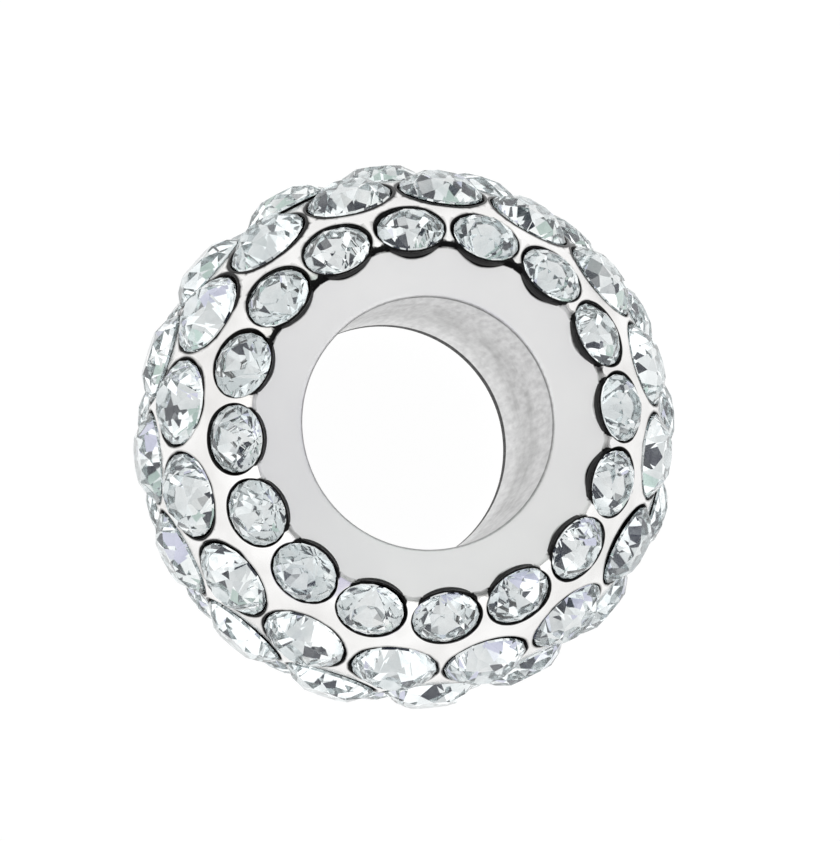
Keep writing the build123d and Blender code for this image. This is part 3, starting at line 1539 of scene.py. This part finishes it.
@dataclass
class CastBody:
    """The cast silver body: ball, bore, dishes, collets and seats as one closed mesh.

    A quarter of one sector is mirrored into a whole sector, which Geometry Nodes repeat round
    the bore. Lengths are in millimetres, and the crease is in degrees.
    """

    form: BeadForm
    weld: float = 0.0008  # distance within which two sectors' points are merged
    crease: float = 50.0
    wall_slack: float = 0.001  # how near a point is to the bore's wall to lie on it
    lower_rim_shade_depth: float = 2.5  # depth of the painted shade inside the lower rim, in rows of the rim

    def lower_rim_shade(self, quarter: QuarterMesh) -> np.ndarray:
        """The darkness of the lower quarter's points, with painted shade just inside the bore's
        rim.

        Args:
            quarter: the upper quarter, which the lower one mirrors.

        Returns:
            One value a point.
        """
        x, y, z = np.array(quarter.vertices).T
        on_wall = np.hypot(x, y) < self.form.bore_radius + self.wall_slack
        near_rim = z > self.form.rim_height - self.lower_rim_shade_depth * quarter.rim_row_spacing
        return np.where(on_wall & near_rim, 1.0, quarter.darkness)

    def sector(self) -> bpy.types.Object:
        """Mirrors the quarter into a whole sector of the bead.

        Returns:
            The sector as an object.
        """
        quarter = QuarterMesh(BodySkin(self.form))
        quarter.build()
        count = len(quarter.vertices)
        log.info("quarter sector: %d points, %d faces", count, len(quarter.faces))
        vertices, faces, dark = [], [], []
        for across, up in ((1, 1), (1, -1), (-1, 1), (-1, -1)):
            start = len(vertices) * count
            vertices.append(np.array(quarter.vertices) * np.array([1, across, up]))
            for face in quarter.faces:
                shifted = [start + i for i in face]
                faces.append(shifted if across == up else shifted[::-1])
            dark.append(quarter.darkness if up > 0 else self.lower_rim_shade(quarter))
        finish = quarter.finish * len(vertices)
        return mesh_object(
            "body_sector", np.concatenate(vertices), faces, finish, np.concatenate(dark)
        )

    def repeat_tree(self) -> GeometryTree:
        """Builds the tree that repeats the sector round the bore and paints its finishes.

        Returns:
            The tree. Its merge distance is in metres.
        """
        inputs = {"Sector": None, "Count": 16, "Merge Distance": 1e-7}
        tree = GeometryTree("repeat_round_bore", inputs, "Body")
        given = tree.given
        pitch = tree.calculate("DIVIDE", 2 * math.pi, given["Count"])
        turn = tree.vector(Z=tree.calculate("MULTIPLY", tree.index(), pitch))
        sectors = tree.copies(tree.points(given["Count"]), given["Sector"], Rotation=turn)
        welded = tree.wired(
            tree.node("GeometryNodeMergeByDistance"),
            "Geometry",
            Geometry=tree.realized(sectors),
            Distance=given["Merge Distance"],
        )
        materials = {
            BodyFinish.BRIGHT: BRIGHT_SILVER.material(),
            BodyFinish.SATIN: SATIN_SILVER.material(),
            BodyFinish.BORE: BORE_SILVER.material(),
            BodyFinish.SEAT: SEAT_OXIDE_AND_SHADE.material(),
        }
        tree.paint(welded, materials)
        return tree

    def build(self) -> bpy.types.Object:
        """Builds the whole cast body and dresses it.

        Returns:
            The finished piece.
        """
        sector = self.sector()
        tree = self.repeat_tree()
        repeat = sector.modifiers.new("repeat", "NODES")
        repeat.node_group = tree.tree
        repeat[tree.identifiers["Count"]] = self.form.stones_in_ring
        repeat[tree.identifiers["Merge Distance"]] = self.weld * MM
        piece = applied(sector, "cast_body")
        piece.data.shade_smooth()
        piece.data.set_sharp_from_angle(angle=math.radians(self.crease))
        return piece


@dataclass
class CrystalField:
    """The foiled brilliants of all five rings, as one mesh of closed stones.

    Lengths are in millimetres and angles in degrees. The snugness, the shift and the tilt
    together stay inside the clearance of the seats.
    """

    form: BeadForm
    cut: Cut = Cut()
    tilt: float = 2.4
    shift: float = 0.026
    snugness: float = 0.015
    seed: int = 7
    seed_step: int = 10

    def facet_rows(self) -> list[list[tuple[float, float, float]]]:
        """Rows of the points of a brilliant of diameter 1, from the table down to the culet.

        Returns:
            The table, the star, both rows of the girdle's top and of its bottom, the lower
            row and the tip.
        """
        cut = self.cut
        step = 2 * math.pi / cut.facets_round
        top = cut.girdle / 2
        table_height, culet = top + cut.crown, -top - cut.pavilion

        def on_line(start: Pair, end: Pair, distance: float) -> float:
            """Height at a distance from the axis, on a line of two such points."""
            return between(start, end, (distance - start[0]) / (end[0] - start[0]))[1]

        def row(radius: float, height: float, turn: float) -> list[tuple[float, float, float]]:
            """A row of points, turned by a share of the step."""
            angles = [(k + turn) * step for k in range(cut.facets_round)]
            return [(radius * math.cos(a), radius * math.sin(a), height) for a in angles]

        mid = math.cos(step / 2)
        star_height = on_line((cut.table / 2, table_height), (0.5, top), cut.star / 2 * mid)
        lower_height = on_line((0.0, culet), (0.5, -top), cut.lower / 2 * mid)
        return [
            row(cut.table / 2, table_height, 0.0),
            row(cut.star / 2, star_height, 0.5),
            row(0.5, top, 0.0),
            row(0.5, top, 0.5),
            row(0.5, -top, 0.0),
            row(0.5, -top, 0.5),
            row(cut.lower / 2, lower_height, 0.5),
            [(0.0, 0.0, culet)],
        ]

    def brilliant(self) -> bpy.types.Object:
        """One brilliant of diameter 1 mm, its girdle centred on the origin.

        Returns:
            The stone as an object, its table towards +Z.
        """
        rows = self.facet_rows()
        count = self.cut.facets_round
        table, star, top, top_half, low, low_half, lower = (
            [row * count + k for k in range(count)] for row in range(len(rows) - 1)
        )
        tip = (len(rows) - 1) * count
        faces, finish = [table], [StoneFace.CROWN.value]
        for k in range(count):
            n = (k + 1) % count
            crown = [
                [table[k], star[k], table[n]],
                [table[k], star[k - 1], top[k], star[k]],
                [star[k], top[k], top_half[k]],
                [star[k], top_half[k], top[n]],
                [top[k], low[k], low_half[k], top_half[k]],
                [top_half[k], low_half[k], low[n], top[n]],
            ]
            pavilion = [
                [low[k], lower[k], low_half[k]],
                [low_half[k], lower[k], low[n]],
                [tip, lower[k], low[k], lower[k - 1]],
            ]
            faces += crown + pavilion
            finish += [StoneFace.CROWN.value] * len(crown)
            finish += [StoneFace.FOIL.value] * len(pavilion)
        return mesh_object("brilliant", np.concatenate(rows), faces, finish)

    def ring_tree(self) -> GeometryTree:
        """Builds the group that sets one ring of stones.

        Returns:
            The group. Its lengths are in metres and its angles in radians, but its turn is a
            share of the pitch, and its shift is a share of the stone's diameter in metres.
        """
        sizes = ("Ring Radius", "Height", "Latitude", "Diameter", "Turn", "Tilt", "Shift")
        inputs = {"Stone": None, "Count": 16, **dict.fromkeys(sizes, 0.0), "Seed": 0}
        tree = GeometryTree("ring_of_crystals", inputs, "Ring")
        given, calculate = tree.given, tree.calculate

        def within(size: str, series: int) -> Socket:
            """A random number between a size's minus and plus, in a series of its own."""
            seed = calculate("ADD", given["Seed"], series)
            return tree.random(calculate("MULTIPLY", given[size], -1.0), given[size], seed)

        pitch = calculate("DIVIDE", 2 * math.pi, given["Count"])
        azimuth = calculate("MULTIPLY", calculate("ADD", tree.index(), given["Turn"]), pitch)
        place = tree.vector(
            X=calculate("MULTIPLY", calculate("COSINE", azimuth), given["Ring Radius"]),
            Y=calculate("MULTIPLY", calculate("SINE", azimuth), given["Ring Radius"]),
            Z=given["Height"],
        )
        points = tree.wired(
            tree.node("GeometryNodeSetPosition"),
            "Geometry",
            Geometry=tree.points(given["Count"]),
            Position=place,
        )
        lean = calculate("SUBTRACT", math.pi / 2, given["Latitude"])
        facing = tree.vector(Y=calculate("ADD", lean, within("Tilt", 1)), Z=azimuth)
        stones = tree.copies(
            points,
            given["Stone"],
            Rotation=facing,
            Scale=calculate("DIVIDE", given["Diameter"], MM),
        )
        spin = tree.random(0.0, 2 * math.pi, calculate("ADD", given["Seed"], 3))
        turned = tree.wired(
            tree.node("GeometryNodeRotateInstances"),
            "Instances",
            Instances=stones,
            Rotation=tree.vector(X=within("Tilt", 2), Z=spin),
            Local_Space=True,
        )
        aside = tree.vector(X=within("Shift", 4), Y=within("Shift", 5), Z=within("Shift", 6))
        shifted = tree.wired(
            tree.node("GeometryNodeTranslateInstances"),
            "Instances",
            Instances=turned,
            Translation=aside,
            Local_Space=True,
        )
        tree.hand_out(shifted)
        return tree

    def field_tree(self) -> GeometryTree:
        """Builds the tree that sets all the rings and paints crowns and foils.

        Returns:
            The tree.
        """
        group = self.ring_tree().tree
        tree = GeometryTree("crystal_field", {"Stone": None}, "Crystals")
        joined = tree.node("GeometryNodeJoinGeometry")
        for number, ring in enumerate(self.form.all_rings()):
            diameter = 2 * (ring.stone_radius + self.snugness)
            stones = tree.wired(
                tree.node("GeometryNodeGroup", node_tree=group),
                "Ring",
                Stone=tree.given["Stone"],
                Count=self.form.stones_in_ring,
                Ring_Radius=ring.radius * MM,
                Height=ring.height * MM,
                Latitude=ring.latitude,
                Diameter=diameter * MM,
                Turn=ring.turn,
                Tilt=math.radians(self.tilt),
                Shift=self.shift / diameter * MM,
                Seed=self.seed + self.seed_step * number,
            )
            tree.feed(joined.inputs["Geometry"], stones)
        materials = {
            StoneFace.CROWN: CROWN_GLASS.material(),
            StoneFace.FOIL: PAVILION_FOIL.material(),
        }
        tree.paint(tree.realized(joined.outputs["Geometry"]), materials)
        return tree

    def build(self) -> bpy.types.Object:
        """Builds and dresses all the crystals.

        Returns:
            The finished piece.
        """
        stone = self.brilliant()
        setting = stone.modifiers.new("rings", "NODES")
        setting.node_group = self.field_tree().tree
        piece = applied(stone, "crystal_field")
        piece.data.shade_flat()
        return piece


NAVY_CLOTH = (0.018, 0.021, 0.034)
LILAC_CLOTH = (0.50, 0.49, 0.60)
SAGE_CLOTH = (0.46, 0.56, 0.52)
GREY_CLOTH = (0.82, 0.81, 0.80)
TABLE_GREY = (0.06, 0.06, 0.06)


@dataclass(frozen=True)
class Patch:
    """A round cloth in the studio's tent. Angles are in degrees, seen from the bead."""

    azimuth: float
    elevation: float
    radius: float
    light: Colour
    soft_edge: float = 2.0

    def hung(self, tree: NodeBuilder, direction: Socket, light: Socket) -> Socket:
        """Hangs the cloth in the tent.

        Args:
            tree: the tent's nodes.
            direction: the socket of the direction of view.
            light: the socket of the tent's light.

        Returns:
            The socket of the light with the cloth in it.
        """
        elevation, azimuth = math.radians(self.elevation), math.radians(self.azimuth)
        toward = (
            math.cos(elevation) * math.cos(azimuth),
            math.cos(elevation) * math.sin(azimuth),
            math.sin(elevation),
        )
        outer = math.cos(math.radians(self.radius + self.soft_edge))
        inner = math.cos(math.radians(self.radius))
        inside = tree.span(tree.reach(direction, toward), 0.0, 1.0, outer, inner)
        return tree.mix(inside, light, self.light, "MULTIPLY")


@dataclass
class Studio:
    """A light table in a white tent, and the camera over it.

    Lengths are in millimetres and angles in degrees, and the roof starts and is full at
    shares of the way up.
    """

    image_width: int = 840
    sensor_width: float = 36.0
    focal_pixels: float = 9979.0
    camera_distance: float = 200.0
    camera_tilt: float = 9.818
    camera_azimuth: float = 209.286
    stone_turn: float = 5.13
    camera_aside: tuple[float, float] = (0.312, 0.317)
    nearest_in_view: float = 1.0
    farthest_in_view: float = 10000.0
    floor_size: float = 3000.0
    floor_glow: float = 0.97
    floor_roughness: float = 0.9
    zenith_light: float = 0.83
    horizon_light: float = 1.4
    roof_start: float = 0.35
    roof_full: float = 0.85
    bounces: int = 24
    glossy_bounces: int = 16
    transmission_bounces: int = 20
    patches: tuple[Patch, ...] = (
        Patch(204.0, 80.2, 4.0, NAVY_CLOTH),
        Patch(30.0, 33.0, 12.0, NAVY_CLOTH),
        Patch(150.0, 30.0, 10.0, NAVY_CLOTH),
        Patch(265.0, 28.0, 11.0, NAVY_CLOTH),
        Patch(320.0, 31.0, 7.0, NAVY_CLOTH),
        Patch(90.0, 37.0, 9.0, NAVY_CLOTH),
        Patch(205.0, 40.0, 8.0, NAVY_CLOTH),
        Patch(350.0, 43.0, 9.0, NAVY_CLOTH),
        Patch(0.0, 14.0, 14.0, LILAC_CLOTH),
        Patch(60.0, 12.0, 12.0, SAGE_CLOTH),
        Patch(120.0, 16.0, 14.0, SAGE_CLOTH),
        Patch(235.0, 16.0, 14.0, LILAC_CLOTH),
        Patch(135.0, 10.0, 32.0, GREY_CLOTH),
    )

    def floor(self, height: float) -> bpy.types.Object:
        """Makes the light table that the bead rests on.

        Args:
            height: of its top, in metres.

        Returns:
            The floor.
        """
        half = self.floor_size / 2 * MM
        corners = [(-half, -half), (half, -half), (half, half), (-half, half)]
        mesh = bpy.data.meshes.new("light_table")
        mesh.from_pydata([(x, y, height) for x, y in corners], [], [(0, 1, 2, 3)])
        table = bpy.data.objects.new("light_table", mesh)
        bpy.context.scene.collection.objects.link(table)
        shader = ShaderTree("light_table")
        shader.set(
            Base_Color=opaque(TABLE_GREY),
            Roughness=self.floor_roughness,
            Specular_IOR_Level=0.0,
            Emission_Color=(1.0, 1.0, 1.0, 1.0),
            Emission_Strength=self.floor_glow,
        )
        mesh.materials.append(shader.material)
        return table

    def tent(self) -> None:
        """Makes the tent's light: bright sides, a greyer roof and the cloths."""
        world = bpy.data.worlds.new("tent")
        bpy.context.scene.world = world
        world.use_nodes = True
        world.node_tree.nodes.clear()
        tree = NodeBuilder(world.node_tree)
        direction = tree.node("ShaderNodeTexCoord").outputs["Generated"]
        rise = tree.wired(tree.node("ShaderNodeSeparateXYZ"), "Z", Vector=direction)
        levels = (self.horizon_light, self.zenith_light, self.roof_start, self.roof_full)
        light = tree.span(rise, *levels, kind="SMOOTHSTEP")
        for patch in self.patches:
            light = patch.hung(tree, direction, light)
        shining = tree.wired(tree.node("ShaderNodeBackground"), "Background", Color=light)
        tree.feed(tree.node("ShaderNodeOutputWorld").inputs["Surface"], shining)

    def camera(self) -> bpy.types.Object:
        """Sets up the camera at the photograph's angle.

        Returns:
            The camera.
        """
        tilt, azimuth = math.radians(self.camera_tilt), math.radians(self.camera_azimuth)
        axis = Vector((-math.sin(azimuth), math.cos(azimuth), 0.0))
        lean = Matrix.Rotation(tilt, 4, axis)
        turn = Matrix.Rotation(-math.radians(self.stone_turn), 4, "Z")
        aside = Matrix.Translation(Vector((*self.camera_aside, self.camera_distance)) * MM)
        data = bpy.data.cameras.new("camera")
        data.sensor_fit = "HORIZONTAL"
        data.sensor_width = self.sensor_width
        data.lens = self.focal_pixels / self.image_width * self.sensor_width
        data.clip_start = self.nearest_in_view * MM
        data.clip_end = self.farthest_in_view * MM
        made = bpy.data.objects.new("camera", data)
        bpy.context.scene.collection.objects.link(made)
        made.matrix_world = turn @ lean @ aside
        bpy.context.scene.camera = made
        return made

    def build(self, height: float) -> None:
        """Sets up table, tent and camera.

        Args:
            height: of the table's top, in metres.
        """
        self.floor(height)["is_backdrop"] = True
        self.tent()
        self.camera()
        scene = bpy.context.scene
        scene.view_settings.view_transform = "Standard"
        scene.view_settings.look = "None"
        scene.cycles.max_bounces = self.bounces
        scene.cycles.glossy_bounces = self.glossy_bounces
        scene.cycles.transmission_bounces = self.transmission_bounces


def main() -> None:
    """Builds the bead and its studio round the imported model."""
    logging.basicConfig(level=logging.INFO, format="%(name)s: %(message)s")
    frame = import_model()
    cad_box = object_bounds()
    form = BeadForm.from_frame(frame)
    log.info("bore radius %.2f mm, rim at %.3f mm", form.bore_radius, form.rim_height)
    log.info("collets' tops at %.3f mm", form.collet_top)

    body = CastBody(form).build()
    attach(body, "root")
    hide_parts(BODY_NODE)
    log.info("cast body: %d faces", len(body.data.polygons))

    crystals = CrystalField(form).build()
    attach(crystals, "root")
    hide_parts(CRYSTAL_NODE)
    log.info("crystal field: %d faces", len(crystals.data.polygons))

    Studio().build(cad_box[0][2])


if __name__ == "__main__":
    main()
